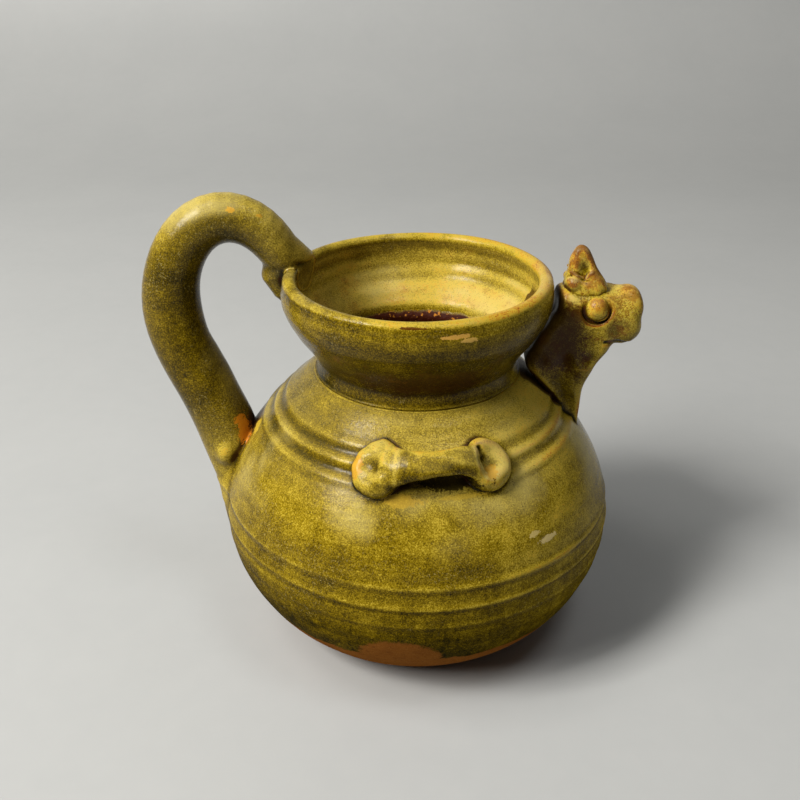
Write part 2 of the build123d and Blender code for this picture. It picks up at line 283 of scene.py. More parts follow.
thrown_mouth = lathe("thrown_mouth", np.concatenate(parts), mouth_marks, 320, closed=True)
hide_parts("dish_mouth")


# %% [markdown]
# ## Clay as a field of distances
# The hand-made pieces are lumps that were rolled, pinched and pressed. Sculpting needs a hand and
# subdivided boxes never quite look squeezed, so each lump is described by a field instead: a function
# that says how far any point is from the clay, negative inside. Fields join softly, cut softly and
# sit against the pot exactly, which is what wet clay does.

# %% Fields of simple lumps
def join(a, b, soft):
    """Two lumps pressed together, with a fillet about as wide as soft."""
    share = np.clip(0.5 + 0.5 * (b - a) / soft, 0, 1)
    return b + (a - b) * share - soft * share * (1 - share)


def carve(a, tool, soft):
    """A lump with a tool's shape pressed out of it."""
    return -join(-a, tool, soft)


def ball(points, centre, radii):
    """An egg of three radii."""
    offset = points - np.asarray(centre, float)
    near = np.linalg.norm(offset / radii, axis=1)
    far = np.linalg.norm(offset / np.square(radii), axis=1) + 1e-9
    return near * (near - 1) / far


def coil(points, line, radii):
    """A rolled coil along a line of points with a radius at each."""
    best = np.full(len(points), 1e3)
    for a, b, first, last in zip(line, line[1:], radii, radii[1:]):
        along = b - a
        share = np.clip((points - a) @ along / (along @ along), 0, 1)
        off = np.linalg.norm(points - a - share[:, None] * along, axis=1)
        best = np.minimum(best, off - first - share * (last - first))
    return best


def post(points, back, front, half_width, corner):
    """An upright post whose level section is a rectangle with round corners."""
    across = np.abs(points[:, 0] - (back + front) / 2) - (front - back) / 2 + corner
    aside = np.abs(points[:, 1]) - half_width + corner
    outside = np.hypot(np.maximum(across, 0), np.maximum(aside, 0))
    return outside + np.minimum(np.maximum(across, aside), 0) - corner


# %% [markdown]
# ## Distance to the pot
# Pieces are luted on to the pot, so their fields need the distance to its wall. The pot is turned, so
# a table over radius and height is enough: it is worked out once and then looked up for any point.

# %% Table of distances to the thrown wall
TABLE_FLOOR = -8


def wall_table(loop, step=0.3):
    """Signed distance to a closed loop of (radius, height) points, on a regular table."""
    across, up = np.arange(0, 92, step), np.arange(TABLE_FLOOR, 134, step)
    grid = np.stack(np.meshgrid(across, up, indexing="ij"), 2).reshape(-1, 2)
    best = np.full(len(grid), 1e9)
    inside = np.zeros(len(grid), bool)
    for a, b in zip(loop, np.roll(loop, -1, 0)):
        along = b - a
        share = np.clip((grid - a) @ along / (along @ along + 1e-12), 0, 1)
        best = np.minimum(best, np.square(grid - a - share[:, None] * along).sum(1))
        spans = (a[1] > grid[:, 1]) != (b[1] > grid[:, 1])
        with np.errstate(divide="ignore", invalid="ignore"):
            inside ^= spans & (grid[:, 0] < a[0] + along[0] * (grid[:, 1] - a[1]) / along[1])
    distance = np.sqrt(best) * np.where(inside, -1, 1)
    return distance.reshape(len(across), len(up)), step


thrown_loop = np.concatenate([
    [(0, 0)], spaced(outer_line, 1.5), spaced(dish_line, 1.2), spaced(lip_line, 0.5), spaced(bowl_line, 1.2),
    [(throat_radius, seam + 6), (throat_radius, seam)], spaced(inner_line, 2.0), [(0, floor_height)]])
wall_distance, wall_step = wall_table(thrown_loop)
print("table of wall distances", wall_distance.shape)


def plain_wall(points):
    """Distance from the pot's wall as if it were exactly turned, at any points in millimetres."""
    table = wall_distance
    across = np.clip(np.hypot(points[:, 0], points[:, 1]) / wall_step, 0, table.shape[0] - 1.001)
    up = np.clip((points[:, 2] - TABLE_FLOOR) / wall_step, 0, table.shape[1] - 1.001)
    i, j = across.astype(int), up.astype(int)
    u, v = across - i, up - j
    return ((table[i, j] * (1 - u) + table[i + 1, j] * u) * (1 - v)
            + (table[i, j + 1] * (1 - u) + table[i + 1, j + 1] * u) * v)


def pot(points):
    """Distance from the pot's wall with its hand-made marks."""
    height = points[:, 2]
    belly, dish = belly_out(np.clip(height, 2, seam)), mouth_out(np.clip(height, seam, wall_top))
    outline = np.where(height < seam, belly, dish)
    outside = np.clip((np.hypot(points[:, 0], points[:, 1]) - outline + 2.5) / 1.5, 0, 1)
    outside = outside * np.clip((wall_top - height) / 3, 0, 1)
    return plain_wall(points) - outside * outer_marks(np.arctan2(points[:, 1], points[:, 0]), height)


def seated(points, clay, soft, sink=0.8):
    """A lump pressed on to the pot: a soft fillet round it, a thin skirt, and clay sunk in the wall."""
    wall = pot(points)
    joined = join(clay, wall + 0.04, soft)
    return np.maximum(np.maximum(joined, clay - soft - 0.3), -(wall + sink))


# %% [markdown]
# ## From a field to a mesh
# Metaballs and the voxel remesh can mesh a lump, but not a field with cuts and soft seats. This
# helper samples the field on a grid, only where the surface is near, places one point in every cell
# that the surface crosses, and joins the points round each crossed grid edge. The points then slide
# on to the exact surface, so the shading stays clean although the cells are coarse.

# %% Mesh a field
def sample(field, origin, shape, step, block=8):
    """Field values on a grid, exact only in blocks that lie near the surface."""
    blocks = [-(-n // block) for n in shape]
    index = np.stack(np.meshgrid(*[np.arange(b) for b in blocks], indexing="ij"), -1).reshape(-1, 3)
    middle = field(origin + (index * block + block / 2) * step)
    values = np.repeat(np.repeat(np.repeat(middle.reshape(blocks), block, 0), block, 1), block, 2)
    cell = np.stack(np.meshgrid(*[np.arange(block)] * 3, indexing="ij"), -1).reshape(-1, 3)
    near = index[np.abs(middle) < step * block * 1.7]
    for start in range(0, len(near), 200):
        spots = (near[start:start + 200, None] * block + cell[None]).reshape(-1, 3)
        values[tuple(spots.T)] = field(origin + spots * step)
    return values


def gradient(field, points, gap=0.05):
    """Direction in which a field grows fastest, with its rate."""
    axes = np.eye(3) * gap
    return np.stack([(field(points + a) - field(points - a)) / (2 * gap) for a in axes], 1)


def cell_points(values, low, step):
    """A point in every cell that the surface crosses, and a grid that gives each point's number."""
    shape = np.array(values.shape) - 1
    total, hits = np.zeros((*shape, 3)), np.zeros(shape)

    def at(corner):
        return values[tuple(slice(c, c + n) for c, n in zip(corner, shape))]

    for a in np.ndindex(2, 2, 2):
        for axis in range(3):
            if a[axis]:
                continue
            first, second = at(a), at(tuple(c + (i == axis) for i, c in enumerate(a)))
            crossed = (first < 0) != (second < 0)
            share = first / np.where(crossed, first - second, 1)
            for i in range(3):
                total[..., i] += crossed * (a[i] + (share if i == axis else 0))
            hits += crossed
    live = hits > 0
    number = np.full(shape, -1)
    number[live] = np.arange(live.sum())
    return low + (np.argwhere(live) + total[live] / hits[live][:, None]) * step, number


def ring_faces(inside, number):
    """A face round each grid edge that the surface crosses, turned to look out of the clay."""
    shape = number.shape
    faces = []
    for axis in range(3):
        u, v = [i for i in range(3) if i != axis]
        start = [slice(1, n) for n in shape]
        start[axis] = slice(0, shape[axis])
        ahead = list(start)
        ahead[axis] = slice(1, shape[axis] + 1)
        one, two = inside[tuple(start)], inside[tuple(ahead)]
        spots = np.argwhere(one != two) + [0 if i == axis else 1 for i in range(3)]
        ring = []
        for du, dv in ((1, 1), (0, 1), (0, 0), (1, 0)):
            spot = spots.copy()
            spot[:, u] -= du
            spot[:, v] -= dv
            ring.append(number[tuple(spot.T)])
        ring = np.stack(ring, 1)
        leaving = one[one != two]
        flip = leaving if axis == 1 else ~leaving
        ring[flip] = ring[flip][:, ::-1]
        faces.append(ring)
    faces = np.concatenate(faces)
    return faces[(faces >= 0).all(1)]


def slid_on(field, points, faces, step):
    """The points evened out twice between their neighbours and moved on to the exact surface."""
    pairs = np.concatenate([faces[:, [i, (i + 1) % 4]] for i in range(4)])
    for relax in (0.5, 0.5, 0):
        if relax:
            sums, counts = np.zeros_like(points), np.zeros(len(points))
            np.add.at(sums, pairs[:, 0], points[pairs[:, 1]])
            np.add.at(sums, pairs[:, 1], points[pairs[:, 0]])
            np.add.at(counts, pairs.ravel(), 1)
            points = points + relax * (sums / np.maximum(counts, 1)[:, None] - points)
        slope = gradient(field, points)
        move = field(points)[:, None] * slope / (np.square(slope).sum(1)[:, None] + 1e-6)
        points = points - np.clip(move, -step, step)
    return points


def mesh_field(name, field, low, high, step):
    """A mesh of the surface where a field is zero."""
    low, high = np.asarray(low, float), np.asarray(high, float)
    values = sample(field, low, np.ceil((high - low) / step).astype(int) + 1, step)
    points, number = cell_points(values, low, step)
    faces = ring_faces(values < 0, number)
    return add_mesh(name, slid_on(field, points, faces, step), faces.tolist())


# %% [markdown]
# ## Handle
# The handle is one rolled coil, thick at the belly and thinner at the lip, where it was pushed down
# over the rim. Its middle line could be typed in again, but the solid already has it: a ray shot
# inward from any face meets the opposite side, and halfway along lies the middle of the coil.

# %% Find the middle line of the handle
def carried_on(line, length, bending, pieces=5):
    """Points past the end of a line, which go on bending as the line did, or less."""
    last = line[-1] - line[-2]
    bend = (last - (line[-4] - line[-5])) / 3 * bending
    bend[3] = 0
    points = [line[-1]]
    stride = length / pieces / np.linalg.norm(last[:3])
    for _ in range(pieces):
        last = last + bend * stride
        points.append(points[-1] + last * stride)
    return np.array(points[1:])


def rows_across(node, centre, thinnest=0.0105, thickest=0.0205, skin=0.0002):
    """Turn round a centre, middle and half width, by a ray across the solid from each of its faces."""
    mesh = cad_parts[node].data
    tree = BVHTree.FromPolygons([v.co for v in mesh.vertices], [p.vertices[:] for p in mesh.polygons])
    rows = []
    for face in mesh.polygons:
        _, _, _, across = tree.ray_cast(face.center - face.normal * skin, -face.normal)
        if across and thinnest < across + skin < thickest:
            middle = (face.center - face.normal * (across + skin) / 2) / MM
            turn = -math.atan2(middle.z - centre[1], middle.x - centre[0])
            rows.append(((turn + math.radians(60)) % (2 * math.pi), *middle, (across + skin) / 2 / MM))
    return np.array(rows)


def middle_line(node, centre, longer, count=34, degree=9):
    """Points and radii along the middle of a bent round bar, which is made longer at both ends."""
    def fitted(rows):
        return [np.polynomial.Chebyshev.fit(rows[:, 0], rows[:, i], degree) for i in range(1, 5)]

    rows = rows_across(node, centre)
    fits = fitted(rows)
    for _ in range(3):
        miss = np.sqrt(sum((fits[i](rows[:, 0]) - rows[:, i + 1]) ** 2 for i in range(4)))
        rows = rows[miss < np.quantile(miss, 0.93)]
        fits = fitted(rows)
    turn = np.linspace(rows[:, 0].min(), rows[:, 0].max(), 400)
    line = np.stack([fit(turn) for fit in fits], 1)
    walked = np.r_[0, np.cumsum(np.linalg.norm(np.diff(line[:, :3], axis=0), axis=1))]
    stops = np.linspace(0, walked[-1], count)
    line = np.stack([np.interp(stops, walked, line[:, i]) for i in range(4)], 1)
    before, after = carried_on(line[::-1], longer[0], 0.0)[::-1], carried_on(line, longer[1], 1.0)
    line = np.concatenate([before, line, after])
    print(node, "middle line", round(walked[-1], 1), "mm from", line[0].round(1), "to", line[-1].round(1))
    return line[:, :3], line[:, 3]


handle_line, handle_radii = middle_line("handle", (-50.0, 95.0), longer=(26.0, 6.5))


# %% [markdown]
# At its foot the coil was leaned on the belly. The clay under it was smeared down the wall until it
# vanished, a small lump was pressed in at the side, and the inner edge was left as a sharp crevice.
# The smear and the crevice come from one number, how soft the seat is: large below and small above.
# The lump is a ball joined on. Moving points by hand would do it too, but not the same way twice.

# %% Press the handle on
LIP_SMEAR = np.array([(-43.5, 8.2, 114.0, 4.2), (-41.5, 8.5, 109.0, 3.3), (-39.4, 8.8, 105.2, 2.2)])


def handle_clay(points):
    """The rolled coil, a small lump at its foot and the clay smeared down from the lip."""
    turn = np.arctan2(points[:, 2] - 95, points[:, 0] + 50)
    uneven = waves(turn, points[:, 1], 21, 6, (3, 9), (18, 40), 0.16)
    clay = coil(points, handle_line, handle_radii) + uneven + 0.14
    clay = join(clay, ball(points, (-60.4, -6.0, 59.8), (3.4, 4.2, 4.4)), 1.4)
    clay = join(clay, coil(points, LIP_SMEAR[:, :3], LIP_SMEAR[:, 3]), 2.5)
    radius = np.hypot(points[:, 0], points[:, 1])
    bowl = np.maximum(radius - mouth_in(np.clip(points[:, 2], seam + 9, wall_top)) + 0.7, points[:, 2] - 118)
    return carve(clay, bowl, 2.4)


def handle_field(points):
    """The handle on the pot: smeared softly down the belly, sharp in the crook and at the lip."""
    low = np.clip((60 - points[:, 2]) / 12, 0, 1)
    outer = np.clip((-points[:, 0] - 40) / 3, 0, 1) * np.clip((points[:, 2] - 100) / 6, 0, 1)
    return seated(points, handle_clay(points), 0.6 + 6.0 * low * low + 1.6 * outer)


rolled_handle = mesh_field("rolled_handle", handle_field, (-85.5, -14, 26), (-28, 20, 142), 0.6)
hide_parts("handle")


# %% [markdown]
# ## The bird's neck and head
# The neck is a wedge of clay pinched between finger and thumb: hardly 8 mm wide where it stands on
# the shoulder and nearly twice that under the head, with a hollow pinch mark at each side. Its back
# hangs clear of the shoulder, which leaves a thin slit that light comes through. The head is a blunt
# lump worked into the neck without a seam, so one field describes both and each piece is a slice of
# it. The slices overlap a little, so that no joint line shows.

# %% Pinch the neck and shape the head
def steps(height, *rows):
    """A size that changes smoothly with height, from rows of (height, size)."""
    heights, sizes = np.array(rows).T
    return sum(np.interp(height + shift, heights, sizes) for shift in (-1.5, -0.5, 0.5, 1.5)) / 4


def stem_clay(points):
    """Neck, throat and crown: an upright post whose back, front and width change on the way up."""
    z = points[:, 2]
    back = steps(z, (60, 45), (73, 45.2), (76, 43.8), (79.6, 41.2), (83, 38.4), (86, 35.6), (88.6, 33.5),
                 (92, 33.3), (95.6, 34.3), (99.4, 36.9), (104, 39.9), (108, 41.7), (114, 42.2))
    front = steps(z, (60, 50.7), (74, 50.7), (78.7, 50.8), (82.5, 51.4), (86.6, 52.9), (90.5, 54.6),
                  (93.6, 57.2), (96, 58.4), (104.6, 59.5), (112, 59.0))
    half = steps(z, (60, 3.9), (72, 4.3), (77, 4.7), (83, 5.8), (87, 6.5), (92, 7.2), (97, 7.6),
                 (104.6, 7.7), (110, 7.0), (114, 5.2))
    clay = post(points, back, front, half, 0.46 * np.minimum(half, (front - back) / 2))
    for side in (-1, 1):
        clay = carve(clay, ball(points, (43.9, side * 9.6, 85.6), (4.2, 4.4, 8.4)), 2.4)
        clay = carve(clay, ball(points, (51.5, side * 12.2, 92.5), (3.4, 5.6, 3.2)), 2.4)
    return carve(clay, 112.6 - z, 3.6)


def bird_clay(points):
    """The stem with the blunt beak joined on, and the eye sockets pressed in."""
    x, y, z = points.T
    snout = (np.hypot((z - 104.7) / 9.0, y / 7.8) - 1) * 8.1
    snout = carve(carve(snout, x - 42.2, 3.0), 67.0 - x, 4.8)
    clay = join(stem_clay(points), snout, 2.2)
    clay = carve(clay, ball(points, (57.6, 0, 117.6), (5.0, 9.0, 4.3)), 2.2)
    for side in (-1, 1):
        jaw = np.array([[56.0, side * 7.4, 98.4], [59.6, side * 6.0, 97.4], [63.4, side * 2.8, 96.3]])
        clay = carve(clay, coil(points, jaw, [0.3, 0.7, 0.5]), 1.2)
        clay = carve(clay, ball(points, (60.4, side * 11.6, 101.6), (4.6, 4.2, 4.6)), 2.4)
        socket = np.hypot(np.hypot(x - 52.8, z - 108.6) - 3.9, y - side * 7.5) - 0.6
        clay = carve(clay, socket, 0.9)
    return clay + waves(np.arctan2(z - 104.6, y), x + 0.6 * z, 31, 8, (1, 4), (7, 22), 0.16)


BORE_PLACE, BORE_RADIUS = 47.5, 1.8         # the upright passage: its distance from the axis and its radius
BEAK_HEIGHT, BEAK_RADIUS = 104.6, 2.8       # the level passage through the beak


def bird_field(points):
    """Neck and head luted to the shoulder, clear of the dish, and pierced for pouring."""
    clay = bird_clay(points)
    free = np.clip((points[:, 2] - 84) / 3, 0, 1)
    clay = seated(points, clay, 0.9) * (1 - free) + carve(clay, pot(points) - 0.35, 0.5) * free
    up = np.hypot(points[:, 0] - BORE_PLACE, points[:, 1]) - BORE_RADIUS
    clay = carve(clay, np.maximum(up, points[:, 2] - BEAK_HEIGHT), 0.3)
    level = np.hypot(points[:, 1], points[:, 2] - BEAK_HEIGHT) - BEAK_RADIUS
    return carve(clay, np.maximum(level, BORE_PLACE - points[:, 0]), 1.0)


pinched_neck = mesh_field("pinched_neck", lambda points: np.maximum(bird_field(points), points[:, 2] - 89.6),
                          (28, -10, 66), (58, 10, 92), 0.38)
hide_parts("spout_neck")
bird_head = mesh_field("bird_head", lambda points: np.maximum(bird_field(points), 88.4 - points[:, 2]),
                       (30, -10, 86), (69, 10, 116), 0.36)
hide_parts("chicken_head")


# %% [markdown]
# ## Comb and eyes
# The comb is a second lump, pressed down on the crown and pinched to a leaf-shaped peak, with a
# hollow at each side and a small fold at its back. The eyes are round pellets, each set in the
# shallow ring that pressing it left.

# %% Press on the comb
def comb_field(points):
    """A pinched leaf of clay on the crown, hollow at each side and folded at the back."""
    x, y, z = points.T
    back = steps(z, (110, 43.0), (114.5, 43.4), (117.7, 44.2), (121, 44.7), (123, 45.0), (126, 46.6),
                 (128, 47.6))
    front = steps(z, (110, 56.4), (114.5, 56.2), (116.5, 55.0), (118.2, 53.4), (119.6, 52.7), (123, 51.3),
                  (126, 49.6), (128, 48.6))
    half = steps(z, (110, 5.6), (113.5, 5.4), (115.5, 4.6), (118, 3.3), (121, 2.6), (124, 2.0), (128, 1.3))
    clay = carve(post(points, back, front, half, 0.8 * half), 126.2 - z, 2.2)
    clay = carve(clay, z - 111.2, 1.4)
    for side in (-1, 1):
        clay = carve(clay, ball(points, (48.9, side * 4.4, 119.7), (2.2, 2.5, 3.2)), 1.3)
        clay = join(clay, ball(points, (45.9, side * 3.4, 115.4), (2.1, 2.0, 2.1)), 0.8)
        fold = np.array([[44.9, side * 3.0, 118.9], [46.6, side * 3.5, 117.9], [48.4, side * 3.1, 117.1]])
        clay = join(clay, coil(points, fold, [0.4, 0.5, 0.3]), 0.7)
        tuck = np.array([[49.8, side * 3.2, 116.8], [51.2, side * 2.9, 118.6]])
        clay = join(clay, coil(points, tuck, [0.4, 0.3]), 0.6)
    clay = carve(clay, pot(points) - 0.5, 0.4)
    return np.maximum(clay, -(bird_clay(points) + 1.0)) + waves(y, z + x, 41, 6, (1, 2), (3, 9), 0.09)


pressed_comb = mesh_field("pressed_comb", comb_field, (41, -7, 107), (59, 7, 128), 0.3)
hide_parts("comb")

# %% Press on the eyes
for side, name, node in ((1, "eye_pellet_left", "eye_left"), (-1, "eye_pellet_right", "eye_right")):
    def eye_field(points, side=side):
        """A pellet flattened a little against the head."""
        pellet = ball(points, (52.8, side * 6.3, 108.6), (3.6, 3.4, 3.7))
        return pellet + 0.08 * np.sin(points[:, 0] * 1.3 + side) * np.sin(points[:, 2] * 1.1)
    eye = mesh_field(name, eye_field, (48, side * 6.5 - 5, 104), (58, side * 6.5 + 5, 114), 0.26)
    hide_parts(node)


# %% [markdown]
# ## Cord lugs
# Each lug is a short strip. Its two ends were pressed flat with a fingertip, and the middle arches
# clear of the shoulder for a cord. It is easiest to describe where it was made, on the shoulder: how
# far round, how far up the slope and how high off the clay. The field bends those three directions
# with the wall, so the pads lie on it everywhere.

# %% Shape a lug
shoulder = 75.8
shoulder_radius = float(belly_out(shoulder))
shoulder_slope = math.atan2(-float(belly_out(shoulder + 0.5) - belly_out(shoulder - 0.5)), 1.0)


def on_shoulder(points, azimuth):
    """Places measured along the shoulder, up its slope and off its surface, in millimetres."""
    angle = np.arctan2(points[:, 1], points[:, 0]) - math.radians(azimuth)
    angle = (angle + math.pi) % (2 * math.pi) - math.pi
    radius = np.hypot(points[:, 0], points[:, 1])
    up = (points[:, 2] - shoulder) * math.cos(shoulder_slope)
    up = up - (radius - shoulder_radius) * math.sin(shoulder_slope)
    return np.stack([angle * shoulder_radius, up, plain_wall(points)], 1)


def pad(local, centre, radii, height, corner):
    """A flat round lump with a rounded rim and a slightly domed face."""
    u, v, w = (local - np.asarray(centre, float)).T
    share = np.hypot(u / radii[0], v / radii[1])
    out = (share - 1) * min(radii) + corner
    up = np.abs(w) - height * (1.12 - 0.22 * np.minimum(share, 1.2) ** 2) + corner
    return np.hypot(np.maximum(out, 0), np.maximum(up, 0)) + np.minimum(np.maximum(out, up), 0) - corner


def lug_clay(local):
    """Strap and pressed ends in shoulder places: a thumb ridge on one end, a nail cut in the other."""
    reach, flat = 14.6, (1, 0.50, 1)
    along = np.linspace(-reach, reach, 15)
    line = np.stack([along, 0.1 + 0.9 * ridge(along, 4.5, 5.5), 6.9 - 5.2 * (along / reach) ** 2], 1)
    strap = coil(local * flat, line * flat, 1.75 + 1.75 * ((along - 1) / reach) ** 2)
    left = pad(local, (-15.4, -0.3, 0.0), (7.1, 7.9), 3.6, 2.4)
    right = pad(local, (15.2, -0.4, 0.0), (7.0, 7.4), 3.1, 2.1)
    clay = join(join(strap, left, 2.4), right, 2.4)
    clay = carve(clay, ball(local, (-17.3, -0.6, 6.9), (3.4, 5.0, 3.3)), 1.6)
    thumb = np.array([[-14.0, -4.6, 3.2], [-13.2, 0.0, 4.7], [-12.4, 4.2, 4.2]])
    clay = join(clay, coil(local, thumb, [0.5, 0.8, 0.5]), 1.2)
    clay = carve(clay, ball(local, (15.6, 0.2, 6.3), (4.2, 5.2, 3.7)), 1.6)
    nail = np.array([[13.1, 4.0, 4.6], [13.7, 1.2, 4.2], [14.2, -1.8, 4.6]])
    clay = carve(clay, coil(local, nail, [0.8, 1.7, 1.2]), 0.8)
    flap = np.array([[11.0, 5.0, 3.8], [11.2, 2.0, 4.8], [11.9, -1.8, 4.4]])
    return join(clay, coil(local, flap, [0.4, 0.6, 0.4]), 0.8)


def lug_field(points, azimuth):
    """The lug luted to the shoulder."""
    local = on_shoulder(points, azimuth)
    uneven = waves(local[:, 0] / 5, local[:, 1], 51, 8, (1, 5), (3, 9), 0.10)
    return seated(points, lug_clay(local), 0.45) + uneven


LUG_AZIMUTH = 84.0
for name, node, azimuth, low, high in (("cord_lug_front", "lug_front", -LUG_AZIMUTH, -54, -32),
                                       ("cord_lug_back", "lug_back", LUG_AZIMUTH, 32, 54)):
    lug = mesh_field(name, lambda points, azimuth=azimuth: lug_field(points, azimuth),
                     (-20, low, 66), (29, high, 86), 0.36)
    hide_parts(node)


# %% [markdown]
# ## What the glaze does, written on the mesh
# A thick glaze runs: it thins on every edge, where the yellow clay glows through, and gathers dark
# green in every groove and corner. Blender's pointiness would show edges, but it has no real unit.
# Here the bend of the surface is measured per millimetre and averaged with its neighbours' a few
# times. Sheltered places are painted darker as shade, so how far other clay closes in over a point is
# measured too.

# %% Measure bends, corners and shelter
def mesh_arrays(piece):
    """Points in millimetres, normals and edges of a piece as arrays."""
    mesh = piece.data
    points, normals = np.zeros(len(mesh.vertices) * 3), np.zeros(len(mesh.vertices) * 3)
    mesh.vertices.foreach_get("co", points)
    mesh.vertices.foreach_get("normal", normals)
    pairs = np.zeros(len(mesh.edges) * 2, int)
    mesh.edges.foreach_get("vertices", pairs)
    return points.reshape(-1, 3) / MM, normals.reshape(-1, 3), pairs.reshape(-1, 2)


def bends(points, normals, pairs):
    """Sum of the two curvatures at each point, per millimetre: positive on a ridge, negative in a groove."""
    first, second = pairs.T
    away = points[second] - points[first]
    square = np.square(away).sum(1) + 1e-9
    fall = np.bincount(first, -(normals[first] * away).sum(1) / square, len(points))
    fall += np.bincount(second, (normals[second] * away).sum(1) / square, len(points))
    return 4 * fall / np.maximum(np.bincount(pairs.ravel(), minlength=len(points)), 1)


def spread(values, pairs, rounds):
    """Values averaged with those of their neighbours a few times."""
    count = np.bincount(pairs.ravel(), minlength=len(values)) + 1
    for _ in range(rounds):
        total = values + np.bincount(pairs[:, 0], values[pairs[:, 1]], len(values))
        values = (total + np.bincount(pairs[:, 1], values[pairs[:, 0]], len(values))) / count
    return values


def sheltered(points, normals, fields, reach=(1.5, 4.0, 9.0, 16.0)):
    """How far other clay closes in over each point: 0 in the open, 1 deep in a corner."""
    closed = np.zeros(len(points))
    for out in reach:
        probe = points + normals * out
        room = np.min([field(probe) for field in fields], axis=0)
        closed += np.clip(1 - room / out, 0, 1) / len(reach)
    return closed


def nearby(field, low, high):
    """The same field, worked out only inside a box, to save time."""
    def limited(points):
        values = np.full(len(points), 20.0)
        close = ((points > low) & (points < high)).all(1)
        values[close] = field(points[close])
        return values
    return limited


def ramp_up(value, low, high):
    """0 below one value and 1 above the other; falling when they are given the other way round."""
    return np.clip((value - low) / (high - low), 0, 1)


# %% [markdown]
# The glaze isn't alike everywhere. In the bowl, on the beak and the comb and on the ends of the lugs
# it is thin and pale, and on the lip it is a little thicker. The wall under the dish and the nape are
# painted dark brown as shade. A painted mask would hold that too, but places and directions need no picture.

# %% Worn places and painted shade
def worn(points, normals):
    """Where the glaze is thin and pale."""
    x, y, z = points.T
    radius = np.hypot(x, y)
    inward = -(normals[:, 0] * x + normals[:, 1] * y) / np.maximum(radius, 1)
    in_pot = radius < 41.5
    bowl = in_pot * ramp_up(inward, -0.2, 0.3) * ramp_up(z, 95.5, 98)
    lip = in_pot * ramp_up(z, lip_top - 3.2, lip_top - 1.2)
    snout = (np.abs(y) < 9) * ramp_up(x, 54, 59) * ramp_up(z, 95, 99)
    comb = (np.abs(y) < 9) * (x > 38) * ramp_up(z, 111.5, 113)
    return np.maximum(1.1 * bowl * (1 - lip), np.maximum(0.95 * snout, 1.1 * comb)) - 0.45 * lip


def smoky(points, normals):
    """Where shade is painted dark brown: on the wall under the dish and at the nape."""
    x, y, z = points.T
    radius = np.hypot(x, y)
    outward = (normals[:, 0] * x + normals[:, 1] * y) / np.maximum(radius, 1)
    wall = (radius > 29) & (radius < 40) & (outward > 0)
    under = wall * ramp_up(z, 89, 94.5) * ramp_up(z, 104.5, 99.0)
    under = under * (0.40 + 0.60 * ramp_up(x, -24, 6) - 0.9 * ramp_up(x, 14, 24))
    nape = (radius > 33) & (np.abs(y) < 9) & (x > 0)
    nape = nape * ramp_up(x, 55.5, 47.0) * ramp_up(z, 112.5, 108.0) * ramp_up(z, 82, 93)
    return np.maximum(under, nape)


def lug_wear(points, normals):
    """The pressed ends of a lug are worn, its strap is not."""
    local = on_shoulder(points, math.copysign(LUG_AZIMUTH, points[:, 1].mean()))
    ends = ramp_up(np.abs(local[:, 0]), 10.0, 12.0) * ramp_up(local[:, 2], 0.2, 1.2)
    rim = 1.5 * np.exp(-(((local[:, 0] + 9.9) / 0.8) ** 2)) * (local[:, 2] > 3.6)
    flap = 1.5 * np.exp(-(((local[:, 0] - 11.2) / 0.7) ** 2)) * (local[:, 2] > 3.6)
    return np.maximum(ends, np.maximum(rim, flap)) - 0.75


# %% Store the marks on every piece
def glaze_marks(piece, own, neighbours=(), rounds=3, wear=worn, shade_mark=smoky):
    """Stores how the surface bends, meets other clay, is sheltered and worn, and where shade is painted."""
    points, normals, pairs = mesh_arrays(piece)
    bend = spread(np.clip(bends(points, normals, pairs), -2.5, 2.5), pairs, rounds)
    corner = np.zeros(len(points))
    for field in neighbours:
        corner = np.maximum(corner, np.exp(-np.square(np.clip(field(points), 0, 9) / 0.8)))
    shelter = spread(sheltered(points, normals, (own, *neighbours)), pairs, 2)
    marks = {"bend": bend, "corner": corner, "shelter": shelter,
             "worn": wear(points, normals), "smoky": shade_mark(points, normals)}
    for name, values in marks.items():
        kept = piece.data.attributes.new(name, "FLOAT", "POINT")
        kept.data.foreach_set("value", values.astype(np.float32))
    print(piece.name, {name: round(float(values.mean()), 2) for name, values in marks.items()})


def seam_line(points):
    """Distance to the joint between belly and neck, seen from outside."""
    return np.where(np.hypot(points[:, 0], points[:, 1]) > 30, 0.7 + np.abs(points[:, 2] - seam), 9)


def unmarked(points, normals):
    """No painted shade at all."""
    return np.zeros(len(points))


def handle_wear_and_highlight(points, normals):
    """The handle is worn on its top and paler again at its foot; where it comes down to the lip it has a
    painted highlight.
    """
    x, y, z = points.T
    top = 0.6 * ramp_up(z, 116, 132) + 0.9 * ramp_up(x, -52, -43) * ramp_up(z, 104, 112)
    return np.maximum(top, 0.8 * ramp_up(z, 80, 64)) + 0.25 * ramp_up(x, -74, -80)


def eye_wear(points, normals):
    """The eyes stand out, so they are worn all over."""
    return np.full(len(points), 0.7)


def pot_outside(points):
    """The pot's wall, but not the inside of the bowl, where the handle's end was smoothed away."""
    in_bowl = (np.hypot(points[:, 0], points[:, 1]) < 40.5) & (points[:, 2] > 104)
    return np.where(in_bowl, 9, pot(points))


